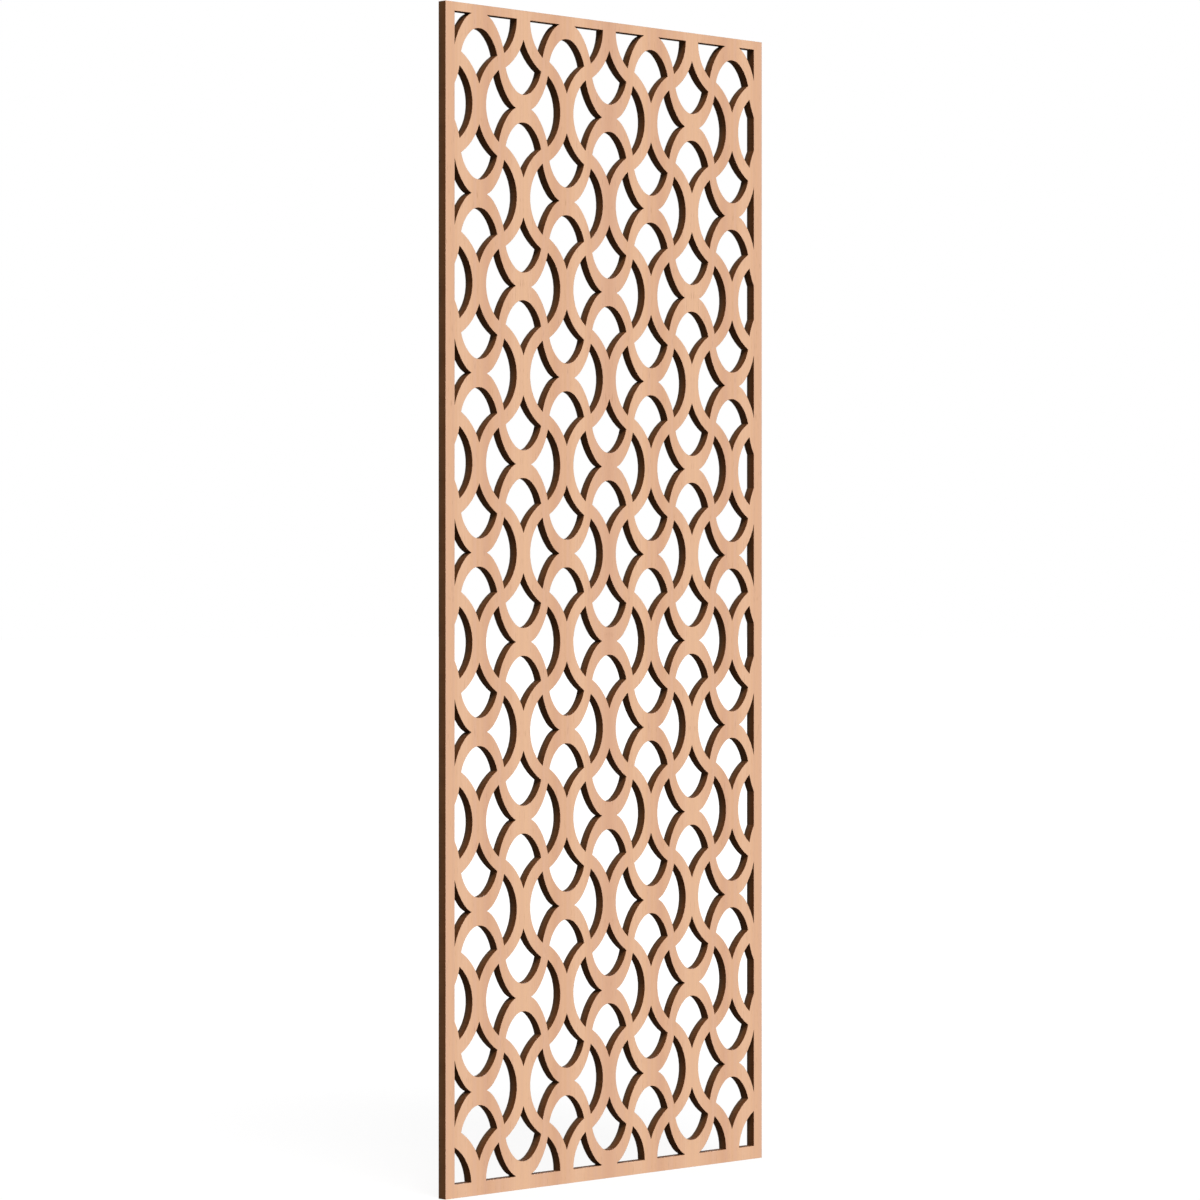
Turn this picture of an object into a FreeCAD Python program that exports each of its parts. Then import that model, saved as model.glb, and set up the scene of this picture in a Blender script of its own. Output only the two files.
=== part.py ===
import FreeCAD, Part
import math
import os

# Fretwork panel: a cross-laminated sheet whose leaves share one set of openings.
# X runs across the panel, Y from its front to its back, Z up. The origin is at the middle of the
# bottom edge, half way through the thickness.

# Driving sizes in millimetres, with one angle in degrees
SIZES = (
    ("panel_width", 288.9, "outside width"),
    ("panel_height", 746.1, "outside height"),
    ("stile_width", 7.7, "plain border at the left and the right"),
    ("top_rail", 5.6, "plain border at the top"),
    ("bottom_rail", 8.6, "plain border at the bottom"),
    ("face_veneer", 0.6, "thickness of the front and the back leaf"),
    ("crossband", 1.7, "thickness of each leaf under a face veneer"),
    ("core", 1.75, "thickness of the middle leaf"),
    ("column_pitch", 38.52, "from a column of the trellis to the next"),
    ("row_pitch", 56.26, "from a row of the trellis to the next"),
    ("row_drop", 0.15, "from the top rail down to the first row"),
    ("neck_width", 11.67, "where two ogee strands run side by side"),
    ("ogee_strand", 8.06, "width of a strand that runs from neck to neck"),
    ("ogee_bow", 0.76, "by which that strand's middle line bows out past a crossing"),
    ("arch_strand", 6.2, "width of a strand that runs from junction to junction, at a crossing"),
    ("arch_angle", 85.5, "slope of that strand at a crossing, from the level"),
    ("junction_width", 13.4, "across a junction of two arches, from cusp to cusp"),
    ("shoulder_radius", 16.5, "outside radius of an arch beside a junction"),
    ("crown_depth", 8.77, "from the middle of a junction to the crown of an arch"),
    ("crown_radius", 11.46, "inside radius of an arch at its crown"),
    ("corner_out", 0.9, "by which the openings in the bottom corners lie further out"),
    ("corner_drop", 2.1, "by which the openings in the bottom corners lie further down"),
)

# Leaves of the sheet from front to back, each with the size that gives its thickness
LEAVES = (
    ("front_face_veneer", "face_veneer"),
    ("front_crossband", "crossband"),
    ("core_ply", "core"),
    ("rear_crossband", "crossband"),
    ("back_face_veneer", "face_veneer"),
)

# A plane is made lying down, and this turn in degrees stands it up to face the front
UPRIGHT = 90

doc = FreeCAD.newDocument("fretwork_panel")


def make_sheet():
    sheet = doc.addObject("Spreadsheet::Sheet", "sizes")
    for row, (alias, value, meaning) in enumerate(SIZES, start=1):
        sheet.set("A%d" % row, meaning)
        sheet.set("B%d" % row, str(value))
        sheet.setAlias("B%d" % row, alias)
    doc.recompute()
    return sheet


def bind(item, **expressions):
    for name, text in expressions.items():
        item.setExpression(name.replace("_", "."), text)


# The drawing plane is X across and Z up

def point(across, up):
    return FreeCAD.Vector(across, 0, up)


def mirrored(place, across=1, up=1):
    return point(across * place.x, up * place.z)


class Circle:
    """A circle that an edge of an opening follows."""

    def __init__(self, centre, radius):
        self.centre = centre
        self.radius = radius

    def mirrored(self, across=1, up=1):
        return Circle(mirrored(self.centre, across, up), self.radius)

    def towards(self, place):
        return self.centre + (place - self.centre).normalize() * self.radius

    def arc(self, start, end):
        return Part.Arc(start, self.towards((start + end) / 2), end).toShape()

    def meeting(self, other, near):
        """Where this circle crosses another, of the two places the one nearer to a given place."""
        span = other.centre - self.centre
        along = (self.radius ** 2 - other.radius ** 2 + span.Length ** 2) / (2 * span.Length)
        aside = math.sqrt(self.radius ** 2 - along ** 2)
        span.normalize()
        square = point(-span.z, span.x)
        foot = self.centre + span * along
        return min((foot + square * aside, foot - square * aside), key=near.distanceToPoint)

    def run_on(self, place, outward):
        """The larger circle that this one runs on into smoothly, to face outward at a given place."""
        reach = place - self.centre
        excess = reach.Length ** 2 - self.radius ** 2
        radius = excess / (2 * (reach.dot(outward) - self.radius))
        return Circle(place - outward * radius, radius)


class Trellis:
    """One junction of the trellis, at the drawing's origin, with the openings around it.

    Ogee strands run from neck to neck and arch strands from junction to junction. They cross half
    a column and half a row away from the junction.
    """

    def __init__(self, size):
        self.size = size
        self.crossing = point(size.column_pitch / 2, size.row_pitch / 2)
        self.lay_ogee_strand()
        self.lay_arch_strand()

    def lay_ogee_strand(self):
        """An ogee strand is of even width, upright at the neck, and bows out a little at the crossing."""
        size = self.size
        neck_offset = (size.neck_width - size.ogee_strand) / 2
        run = size.column_pitch / 2 - neck_offset
        rise = size.row_pitch / 2
        bow = size.ogee_bow
        radius = (run ** 2 + rise ** 2 - bow ** 2) / (2 * (run - bow))
        middle = neck_offset + radius
        self.ogee_inside = Circle(point(middle, size.row_pitch), radius + size.ogee_strand / 2)
        self.ogee_outside = Circle(point(size.column_pitch - middle, 0), radius - size.ogee_strand / 2)

    def lay_arch_strand(self):
        """An arch strand narrows from its crown to the crossing, where both its edges slope alike.

        Each edge is a tight arc at the top of the arch, and runs on into a flatter one down its side.
        """
        size = self.size
        slope = math.radians(size.arch_angle)
        outward = point(math.sin(slope), -math.cos(slope))
        half_strand = outward * (size.arch_strand / 2)

        self.cusp = point(size.junction_width / 2, 0)
        shoulder_height = math.sqrt(size.shoulder_radius ** 2 - self.cusp.x ** 2)
        self.shoulder = Circle(point(0, shoulder_height), size.shoulder_radius)
        self.arch_outside = self.shoulder.run_on(self.crossing + half_strand, outward)

        self.crown = Circle(point(0, size.crown_depth + size.crown_radius), size.crown_radius)
        self.arch_inside = self.crown.run_on(self.crossing - half_strand, outward)

    def lens(self, up):
        """The opening above (up=1) or below (up=-1) the junction: a round crown and a pointed tip."""
        inside = self.ogee_inside
        tip_drop = math.sqrt(inside.radius ** 2 - inside.centre.x ** 2)
        tip = point(0, inside.centre.z - tip_drop)
        blend = self.arch_inside.towards(self.crown.centre)
        corner = self.arch_inside.meeting(inside, self.crossing)
        edges = [self.crown.mirrored(1, up).arc(mirrored(blend, -1, up), mirrored(blend, 1, up))]
        for side in (1, -1):
            flank = self.arch_inside.mirrored(side, up)
            edges.append(flank.arc(mirrored(blend, side, up), mirrored(corner, side, up)))
            slant = inside.mirrored(side, up)
            edges.append(slant.arc(mirrored(corner, side, up), mirrored(tip, side, up)))
        return edges

    def crescent(self, side):
        """The opening at the right (side=1) or left (side=-1): round outside, a cusp inside."""
        corner = self.arch_outside.meeting(self.ogee_outside, self.crossing)
        blend = self.arch_outside.towards(self.shoulder.centre)
        cusp = mirrored(self.cusp, side)
        round_side = self.ogee_outside.mirrored(side, 1)
        edges = [round_side.arc(mirrored(corner, side, 1), mirrored(corner, side, -1))]
        for up in (1, -1):
            shoulder = self.shoulder.mirrored(side, up)
            edges.append(shoulder.arc(cusp, mirrored(blend, side, up)))
            flank = self.arch_outside.mirrored(side, up)
            edges.append(flank.arc(mirrored(blend, side, up), mirrored(corner, side, up)))
        return edges

    def openings(self):
        outlines = [self.lens(1), self.lens(-1), self.crescent(1), self.crescent(-1)]
        return [Part.Face(Part.Wire(Part.sortEdges(edges)[0])) for edges in outlines]

    def corner_opening(self, side):
        """The opening in the right (side=1) or left (side=-1) bottom corner, round and without a cusp."""
        shift = point(side * self.size.corner_out, -self.size.corner_drop)
        centre = mirrored(self.ogee_outside.centre, -side) + shift
        rim = Part.Circle(centre, FreeCAD.Vector(0, 1, 0), self.ogee_outside.radius).toShape()
        return Part.Face(Part.Wire(rim))


def opening_faces(size):
    """Every opening that reaches into the window, whole, in the drawing plane.

    Junctions and necks take turns along a row and from a row to the next, with a neck at the
    middle of the first row. In the last row, a junction whose lenses are hidden behind a stile has
    no arches, and leaves a plain corner opening.
    """
    half_window = size.panel_width / 2 - size.stile_width
    window_top = size.panel_height - size.top_rail
    window_bottom = size.bottom_rail
    last_column = math.ceil(half_window / size.column_pitch) + 1
    last_row = math.ceil((window_top - window_bottom) / size.row_pitch) + 1

    trellis = Trellis(size)
    motif = trellis.openings()
    lens_reach = motif[0].BoundBox.XMax
    faces = []
    for row in range(-1, last_row + 1):
        up = window_top - size.row_drop - row * size.row_pitch
        for column in range(-last_column, last_column + 1):
            if (row + column) % 2 == 0:
                continue
            place = point(column * size.column_pitch, up)
            cut = motif
            hidden = abs(place.x) - lens_reach > half_window
            if hidden and up < window_bottom + size.row_pitch / 2:
                cut = [trellis.corner_opening(math.copysign(1, column))]
            for opening in cut:
                face = opening.translated(place)
                box = face.BoundBox
                across = box.XMin < half_window and box.XMax > -half_window
                if across and box.ZMin < window_top and box.ZMax > window_bottom:
                    faces.append(face)
    return faces


def make_outline(sheet, thickness):
    """The flat shape that all leaves share: the whole sheet less the openings inside its border."""
    openings = doc.addObject("Part::Feature", "openings")
    openings.Shape = Part.makeCompound(opening_faces(sheet))

    window = doc.addObject("Part::Box", "window")
    bind(
        window,
        Length="sizes.panel_width - 2 * sizes.stile_width",
        Width=thickness,
        Height="sizes.panel_height - sizes.top_rail - sizes.bottom_rail",
        Placement_Base_x="sizes.stile_width - sizes.panel_width / 2",
        Placement_Base_y="-(%s) / 2" % thickness,
        Placement_Base_z="sizes.bottom_rail",
    )

    framed = doc.addObject("Part::Common", "framed_openings")
    framed.Base = openings
    framed.Tool = window

    blank = doc.addObject("Part::Plane", "blank")
    blank.Placement.Rotation = FreeCAD.Rotation(FreeCAD.Vector(1, 0, 0), UPRIGHT)
    bind(
        blank,
        Length="sizes.panel_width",
        Width="sizes.panel_height",
        Placement_Base_x="-sizes.panel_width / 2",
    )

    outline = doc.addObject("Part::Cut", "outline")
    outline.Base = blank
    outline.Tool = framed
    return outline


def make_leaf(name, thickness, front, outline):
    """One leaf of the sheet: the shared outline, as thick as the leaf, in its place in the stack."""
    leaf = doc.addObject("Part::Extrusion", name)
    leaf.Label = name
    leaf.Base = outline
    leaf.DirMode = "Custom"
    leaf.Dir = FreeCAD.Vector(0, 1, 0)
    leaf.Solid = True
    bind(leaf, LengthFwd=thickness, Placement_Base_y=front)
    return leaf


def make_panel():
    sheet = make_sheet()
    layers = ["sizes." + size for _, size in LEAVES]
    thickness = " + ".join(layers)
    outline = make_outline(sheet, thickness)
    leaves = []
    for index, (name, _) in enumerate(LEAVES):
        front = " + ".join(["-(%s) / 2" % thickness] + layers[:index])
        leaves.append(make_leaf(name, layers[index], front, outline))
    doc.recompute()
    return leaves


def check(leaves):
    for item in doc.Objects:
        if "Invalid" in item.State or "Error" in item.State:
            raise RuntimeError("%s failed: %s" % (item.Label, item.State))
    for leaf in leaves:
        if leaf.Shape.isNull() or not leaf.Shape.isValid() or len(leaf.Shape.Solids) != 1:
            raise RuntimeError("%s is not one valid solid" % leaf.Label)


def write(leaves):
    os.makedirs("parts", exist_ok=True)
    for leaf in leaves:
        leaf.Shape.exportStep("parts/%s.step" % leaf.Label)
        box = leaf.Shape.BoundBox
        print(leaf.Label, "%.1f x %.2f x %.1f mm" % (box.XLength, box.YLength, box.ZLength))


panel = make_panel()
check(panel)
write(panel)
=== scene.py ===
import math

import bpy
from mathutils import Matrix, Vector


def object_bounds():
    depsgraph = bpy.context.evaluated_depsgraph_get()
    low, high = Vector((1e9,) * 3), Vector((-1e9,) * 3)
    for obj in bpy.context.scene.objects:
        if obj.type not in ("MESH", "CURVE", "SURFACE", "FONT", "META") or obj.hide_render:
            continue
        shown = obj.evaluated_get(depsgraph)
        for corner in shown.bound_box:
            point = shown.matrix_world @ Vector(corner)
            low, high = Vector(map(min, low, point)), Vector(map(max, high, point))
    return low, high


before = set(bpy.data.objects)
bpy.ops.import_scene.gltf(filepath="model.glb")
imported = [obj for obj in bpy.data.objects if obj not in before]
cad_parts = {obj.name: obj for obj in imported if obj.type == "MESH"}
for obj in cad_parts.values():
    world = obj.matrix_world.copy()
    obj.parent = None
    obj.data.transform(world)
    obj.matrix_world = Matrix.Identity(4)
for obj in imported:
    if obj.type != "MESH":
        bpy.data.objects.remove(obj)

# Looks of a fretwork panel: pale straight-grained face veneers over inner plies, with scorched cut
# edges. Lengths are in metres. X runs across the panel, Y from its front to its back, Z up.

cad_low, cad_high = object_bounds()
X, Y, Z = range(3)
WHITE = (1.0, 1.0, 1.0, 1.0)

# Camera: level with the middle of the panel and turned to see its front from the left, with the
# panel's near edge so far ahead of it and so far left of its line of sight
IMAGE_PIXELS = 1200
FOCAL_PIXELS = 4356
SENSOR_WIDTH_MM = 36
VIEW_TURN = math.radians(45)
NEAR_EDGE_AHEAD = 2.7099
NEAR_EDGE_LEFT = 0.09608

# Light levels, as the share of its colour that a surface facing the light shows
AMBIENT_LEVEL = 0.33
LAMP_SPREAD = math.radians(30)
LAMPS = (
    # name, turn from the front to the right and height above the floor in degrees, level
    ("front_softbox", -27, 53, 1.22),
    ("rear_softbox", 150, 15, 0.75),
)

# Floor: a wide plane that glows white, a little less over a reach around the panel, where the panel
# then throws a faint shadow. It also sends some light back onto the panel.
FLOOR_SIZE = 60.0
FLOOR_COLOUR = (0.1, 0.1, 0.1, 1.0)
FLOOR_GLOW = 0.87
FLOOR_LIGHT = 0.15
SHADOW_REACH = (0.4, 1.6)


def linear(red, green, blue):
    """A colour as seen on screen, from 0 to 255, as the linear colour that a shader takes."""

    def channel(value):
        """One channel, by the sRGB curve."""
        share = value / 255
        if share <= 0.04045:
            return share / 12.92
        return ((share + 0.055) / 1.055) ** 2.4

    return (channel(red), channel(green), channel(blue), 1.0)


# A noise has a scale per metre along X, Y and Z. Four numbers that follow a noise are its low and
# high ends and what those ends become: a share of colour, a roughness or a relief.

# Face veneer: straight grain with broad light and dark bands, mirrored from strip to strip
FACE_PEACH = linear(231, 183, 147)
FACE_PINK = linear(229, 183, 153)
FACE_LIGHT = linear(244, 200, 163)
FACE_DARK = linear(213, 161, 129)
FACE_LINE = linear(208, 157, 119)
FACE_PORE = linear(160, 110, 78)
STRIP_WIDTH = 0.078
BAND_PITCH = 0.048
DARK_BAND = {"middle": 0.0, "reach": 0.008, "share": 0.4}
LIGHT_BAND = {"middle": 0.027, "reach": 0.0115, "share": 0.5}
WANDER = {"scale": (9, 9, 3), "detail": 1.0}
WANDER_WIDTH = 0.001
STREAKS = {"scale": (230, 230, 0.2), "detail": 3.0, "roughness": 0.6}
STREAK_SHARE = (0.35, 0.65, 0.0, 1.0)
LINES = {"scale": (480, 480, 0.4), "detail": 3.0, "roughness": 0.65}
LINE_SHARE = (0.3, 0.75, 0.0, 0.2)
LINE_ROUGHNESS = (0.3, 0.8, 0.55, 0.72)
LINE_RELIEF = 0.6
PORES = {"scale": (2600, 2600, 130), "detail": 1.0}
PORE_SHARE = (0.66, 0.78, 0.0, 0.4)
PORE_RELIEF = (0.62, 0.8, 0.0, 1.0)
FACE_BUMP = {"strength": 0.25, "distance": 0.0001}
FACE_SHINE = 0.15
BACK_GRAIN_SHIFT = 0.7

# Toasted line on a face along each cut, where a rounded normal turns away from the flat one. Its share
# goes by how alike the two normals are.
FACE_TOAST = linear(170, 112, 72)
TOAST_WIDTH = 0.0005
TOAST_SAMPLES = 4
TOAST_SHARE = (0.99, 0.8, 0.0, 0.6)

# Scorched edges, from the front, where the beam went in, to the back, where it came out
SCORCH_FRONT = linear(94, 54, 25)
SCORCH_BACK = linear(80, 60, 43)
SOOT = linear(27, 18, 11)
STRIPES = {"scale": (900, 0, 900), "detail": 3.0, "roughness": 0.6}
STRIPE_SOOT = (0.4, 0.75, 0.0, 0.3)
STRIPE_ROUGHNESS = (0.2, 0.8, 0.75, 0.95)
CLOUDS = {"scale": (70, 70, 70)}
CLOUD_SOOT = (0.4, 0.8, 0.0, 0.25)
EDGE_GRAIN = {"along": 60, "across": 1500}
GRAIN_SOOT = (0.45, 0.7, 0.0, 0.25)
CORE_PALER = 0.12
EDGE_BUMP = {"strength": 0.5, "distance": 0.0002}
EDGE_SHINE = 0.02

# The outside edges are made paler in patches
OUTSIDE_PALE = linear(112, 76, 49)
OUTSIDE_PALE_MARGIN = 0.0002
OUTSIDE_PALE_SHARE = (0.3, 0.7, 0.25, 0.6)

# A veneer shows its face, and not a cut edge, where its normal points along Y by more than this
FACE_SQUARENESS = 0.5


class Nodes:
    """Builds the nodes of one material or world."""

    def __init__(self, tree):
        self.tree = tree
        tree.nodes.clear()

    def add(self, kind, feeds=(), **settings):
        """A node with its settings, and its inputs fed with values or with other nodes' outputs."""
        node = self.tree.nodes.new(kind)
        for name, value in settings.items():
            setattr(node, name, value)
        for key, value in dict(feeds).items():
            self.feed(node.inputs[key], value)
        return node

    def feed(self, socket, value):
        if isinstance(value, bpy.types.NodeSocket):
            self.tree.links.new(value, socket)
        else:
            socket.default_value = value

    def math(self, operation, first, second=0.0):
        return self.add("ShaderNodeMath", {0: first, 1: second}, operation=operation).outputs[0]

    def vector(self, operation, first, second=(0, 0, 0), output="Vector"):
        node = self.add("ShaderNodeVectorMath", {0: first, 1: second}, operation=operation)
        return node.outputs[output]

    def part(self, vector, axis):
        return self.add("ShaderNodeSeparateXYZ", {"Vector": vector}).outputs[axis]

    def span(self, value, low, high, new_low=0.0, new_high=1.0):
        """A value from low to high, brought smoothly to the range from new_low to new_high."""
        feeds = {"Value": value, "From Min": low, "From Max": high, "To Min": new_low, "To Max": new_high}
        return self.add("ShaderNodeMapRange", feeds, interpolation_type="SMOOTHSTEP").outputs["Result"]

    def mix(self, share, first, second):
        node = self.add("ShaderNodeMix", data_type="RGBA")
        colours = [socket for socket in node.inputs if socket.type == "RGBA"]
        self.feed(node.inputs["Factor"], share)
        self.feed(colours[0], first)
        self.feed(colours[1], second)
        return next(socket for socket in node.outputs if socket.type == "RGBA")

    def noise(self, place, scale, detail=2.0, roughness=0.5):
        """Noise over a place, with a scale per metre along X, Y and Z."""
        feeds = {
            "Vector": self.vector("MULTIPLY", place, scale),
            "Scale": 1.0,
            "Detail": detail,
            "Roughness": roughness,
        }
        return self.add("ShaderNodeTexNoise", feeds).outputs["Fac"]

    def bump(self, height, strength, distance):
        feeds = {"Height": height, "Strength": strength, "Distance": distance}
        return self.add("ShaderNodeBump", feeds).outputs["Normal"]

    def finish_wood(self, colour, roughness, shine, normal):
        """The surface of a piece of wood, as the material's output."""
        surface = self.add("ShaderNodeBsdfPrincipled", {
            "Base Color": colour,
            "Roughness": roughness,
            "Specular IOR Level": shine,
            "Normal": normal,
        })
        self.add("ShaderNodeOutputMaterial", {"Surface": surface.outputs["BSDF"]})


def new_material(name):
    material = bpy.data.materials.new(name)
    material.use_nodes = True
    return material, Nodes(material.node_tree)


def object_place(nodes):
    return nodes.add("ShaderNodeTexCoord").outputs["Object"]


def grain_scale(axis, along, across):
    """A noise scale for grain that runs along one axis."""
    scale = [across, across, across]
    scale[axis] = along
    return tuple(scale)


def outside_edge(nodes, place):
    """1 on the outside edges of the panel, and 0 inside its openings."""
    middle = (cad_low + cad_high) / 2
    reach = cad_high - middle - Vector((OUTSIDE_PALE_MARGIN, 0, OUTSIDE_PALE_MARGIN))
    offset = nodes.vector("ABSOLUTE", nodes.vector("SUBTRACT", place, middle))
    beyond = nodes.vector("SUBTRACT", offset, reach)
    furthest = nodes.math("MAXIMUM", nodes.part(beyond, X), nodes.part(beyond, Z))
    return nodes.math("GREATER_THAN", furthest, 0.0)


def scorched_wood(nodes, place, grain_axis, paler=0.0):
    """Colour of a cut edge with the grain showing through, and the stripes that the beam left on it."""
    depth = nodes.span(nodes.part(place, Y), cad_low.y, cad_high.y)
    colour = nodes.mix(depth, SCORCH_FRONT, SCORCH_BACK)
    stripes = nodes.noise(place, **STRIPES)
    grain = nodes.noise(place, grain_scale(grain_axis, **EDGE_GRAIN))
    clouds = nodes.noise(place, **CLOUDS)
    soot = nodes.math("ADD", nodes.span(stripes, *STRIPE_SOOT), nodes.span(clouds, *CLOUD_SOOT))
    soot = nodes.math("ADD", soot, nodes.span(grain, *GRAIN_SOOT))
    soot = nodes.math("SUBTRACT", soot, paler)
    colour = nodes.mix(soot, colour, SOOT)
    # Paler patches on the outside edges of the panel only, not on the walls of the openings
    pale_patches = nodes.span(clouds, *OUTSIDE_PALE_SHARE)
    colour = nodes.mix(nodes.math("MULTIPLY", outside_edge(nodes, place), pale_patches), colour, OUTSIDE_PALE)
    return colour, stripes


def inner_ply(name, grain_axis, paler=0.0):
    """An inner leaf, of which only the cut edges show."""
    material, nodes = new_material(name)
    colour, stripes = scorched_wood(nodes, object_place(nodes), grain_axis, paler)
    roughness = nodes.span(stripes, *STRIPE_ROUGHNESS)
    nodes.finish_wood(colour, roughness, EDGE_SHINE, nodes.bump(stripes, **EDGE_BUMP))
    return material


def mirrored_grain(nodes, place, shift):
    """Where a place lies in the grain: how far across its strip, and that with its depth and height."""
    wander = nodes.math("MULTIPLY", nodes.noise(place, **WANDER), WANDER_WIDTH)
    across = nodes.math("ADD", nodes.part(place, X), nodes.math("ADD", wander, shift))
    mirrored = nodes.math("PINGPONG", across, STRIP_WIDTH)
    feeds = {X: mirrored, Y: nodes.part(place, Y), Z: nodes.part(place, Z)}
    return mirrored, nodes.add("ShaderNodeCombineXYZ", feeds).outputs[0]


def grain_band(nodes, across, middle, reach, share):
    """A share of colour at a place in each pitch of the bands, fading out within a reach of it."""
    distance = nodes.math("PINGPONG", nodes.math("SUBTRACT", across, middle), BAND_PITCH / 2)
    return nodes.span(distance, reach, 0.0, 0.0, share)


def toasted(nodes, colour, flat_normal):
    """The colour of a face, browned in a narrow line along each cut."""
    rounded = nodes.add("ShaderNodeBevel", {"Radius": TOAST_WIDTH}, samples=TOAST_SAMPLES)
    sameness = nodes.vector("DOT_PRODUCT", flat_normal, rounded.outputs["Normal"], "Value")
    return nodes.mix(nodes.span(sameness, *TOAST_SHARE), colour, FACE_TOAST)


def face_veneer(name, shift=0.0):
    """An outer leaf: clean upright grain on its face, and scorched where it is cut."""
    material, nodes = new_material(name)
    place = object_place(nodes)
    across, grain_place = mirrored_grain(nodes, place, shift)
    streaks = nodes.noise(grain_place, **STREAKS)
    lines = nodes.noise(grain_place, **LINES)
    pores = nodes.noise(grain_place, **PORES)

    colour = nodes.mix(nodes.span(streaks, *STREAK_SHARE), FACE_PEACH, FACE_PINK)
    colour = nodes.mix(grain_band(nodes, across, **DARK_BAND), colour, FACE_DARK)
    colour = nodes.mix(grain_band(nodes, across, **LIGHT_BAND), colour, FACE_LIGHT)
    colour = nodes.mix(nodes.span(lines, *LINE_SHARE), colour, FACE_LINE)
    colour = nodes.mix(nodes.span(pores, *PORE_SHARE), colour, FACE_PORE)

    flat_normal = nodes.add("ShaderNodeNewGeometry").outputs["True Normal"]
    colour = toasted(nodes, colour, flat_normal)
    edge, _ = scorched_wood(nodes, place, Z)
    squareness = nodes.math("ABSOLUTE", nodes.part(flat_normal, Y))
    colour = nodes.mix(nodes.math("GREATER_THAN", squareness, FACE_SQUARENESS), edge, colour)

    ridges = nodes.math("MULTIPLY", lines, LINE_RELIEF)
    relief = nodes.math("SUBTRACT", ridges, nodes.span(pores, *PORE_RELIEF))
    roughness = nodes.span(lines, *LINE_ROUGHNESS)
    nodes.finish_wood(colour, roughness, FACE_SHINE, nodes.bump(relief, **FACE_BUMP))
    return material


def dress_panel():
    materials = {
        "front_face_veneer": face_veneer("front_veneer"),
        "front_crossband": inner_ply("front_crossband_edge", X),
        "core_ply": inner_ply("core_edge", Z, CORE_PALER),
        "rear_crossband": inner_ply("rear_crossband_edge", X),
        "back_face_veneer": face_veneer("back_veneer", BACK_GRAIN_SHIFT),
    }
    for node, material in materials.items():
        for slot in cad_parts[node].material_slots:
            slot.material = material


def background_ray(nodes):
    """1 for rays that meet a white background, and 0 for those that light the panel."""
    rays = nodes.add("ShaderNodeLightPath")
    seen = nodes.math("MAXIMUM", rays.outputs["Is Camera Ray"], rays.outputs["Is Glossy Ray"])
    return nodes.math("MAXIMUM", seen, rays.outputs["Is Transmission Ray"])


def make_floor():
    bpy.ops.mesh.primitive_plane_add(size=FLOOR_SIZE, location=(0, 0, cad_low.z))
    floor = bpy.context.object
    floor.name = "floor"
    material, nodes = new_material("floor")
    distance = nodes.vector("LENGTH", object_place(nodes), output="Value")
    glow = nodes.span(distance, *SHADOW_REACH, FLOOR_GLOW, 1.0)
    glow = nodes.math("MAXIMUM", nodes.math("MULTIPLY", background_ray(nodes), glow), FLOOR_LIGHT)
    matt = nodes.add("ShaderNodeBsdfDiffuse", {"Color": FLOOR_COLOUR})
    bright = nodes.add("ShaderNodeEmission", {"Color": WHITE, "Strength": glow})
    both = nodes.add("ShaderNodeAddShader", {0: matt.outputs[0], 1: bright.outputs[0]})
    nodes.add("ShaderNodeOutputMaterial", {"Surface": both.outputs[0]})
    floor.data.materials.append(material)


def make_world():
    world = bpy.data.worlds.new("studio")
    world.use_nodes = True
    nodes = Nodes(world.node_tree)
    light = nodes.add("ShaderNodeBackground", {"Color": WHITE, "Strength": AMBIENT_LEVEL})
    white = nodes.add("ShaderNodeBackground", {"Color": WHITE, "Strength": 1.0})
    feeds = {0: background_ray(nodes), 1: light.outputs[0], 2: white.outputs[0]}
    mixed = nodes.add("ShaderNodeMixShader", feeds)
    nodes.add("ShaderNodeOutputWorld", {"Surface": mixed.outputs[0]})
    bpy.context.scene.world = world


def make_lamps():
    for name, turn, height, level in LAMPS:
        turn = math.radians(turn)
        height = math.radians(height)
        flat = math.cos(height)
        away = Vector((math.sin(turn) * flat, -math.cos(turn) * flat, math.sin(height)))
        data = bpy.data.lights.new(name, "SUN")
        data.angle = LAMP_SPREAD
        data.energy = level * math.pi
        lamp = bpy.data.objects.new(name, data)
        lamp.rotation_euler = (-away).to_track_quat("-Z", "Y").to_euler()
        bpy.context.scene.collection.objects.link(lamp)


def make_camera():
    ahead = Vector((math.sin(VIEW_TURN), math.cos(VIEW_TURN), 0))
    right = Vector((math.cos(VIEW_TURN), -math.sin(VIEW_TURN), 0))
    near_edge = Vector((cad_low.x, cad_low.y, (cad_low.z + cad_high.z) / 2))
    data = bpy.data.cameras.new("camera")
    data.sensor_width = SENSOR_WIDTH_MM
    data.lens = SENSOR_WIDTH_MM * FOCAL_PIXELS / IMAGE_PIXELS
    camera = bpy.data.objects.new("camera", data)
    camera.location = near_edge - ahead * NEAR_EDGE_AHEAD + right * NEAR_EDGE_LEFT
    camera.rotation_euler = ahead.to_track_quat("-Z", "Y").to_euler()
    bpy.context.scene.collection.objects.link(camera)
    bpy.context.scene.camera = camera


bpy.context.scene.view_settings.view_transform = "Standard"
dress_panel()
make_floor()
make_world()
make_lamps()
make_camera()
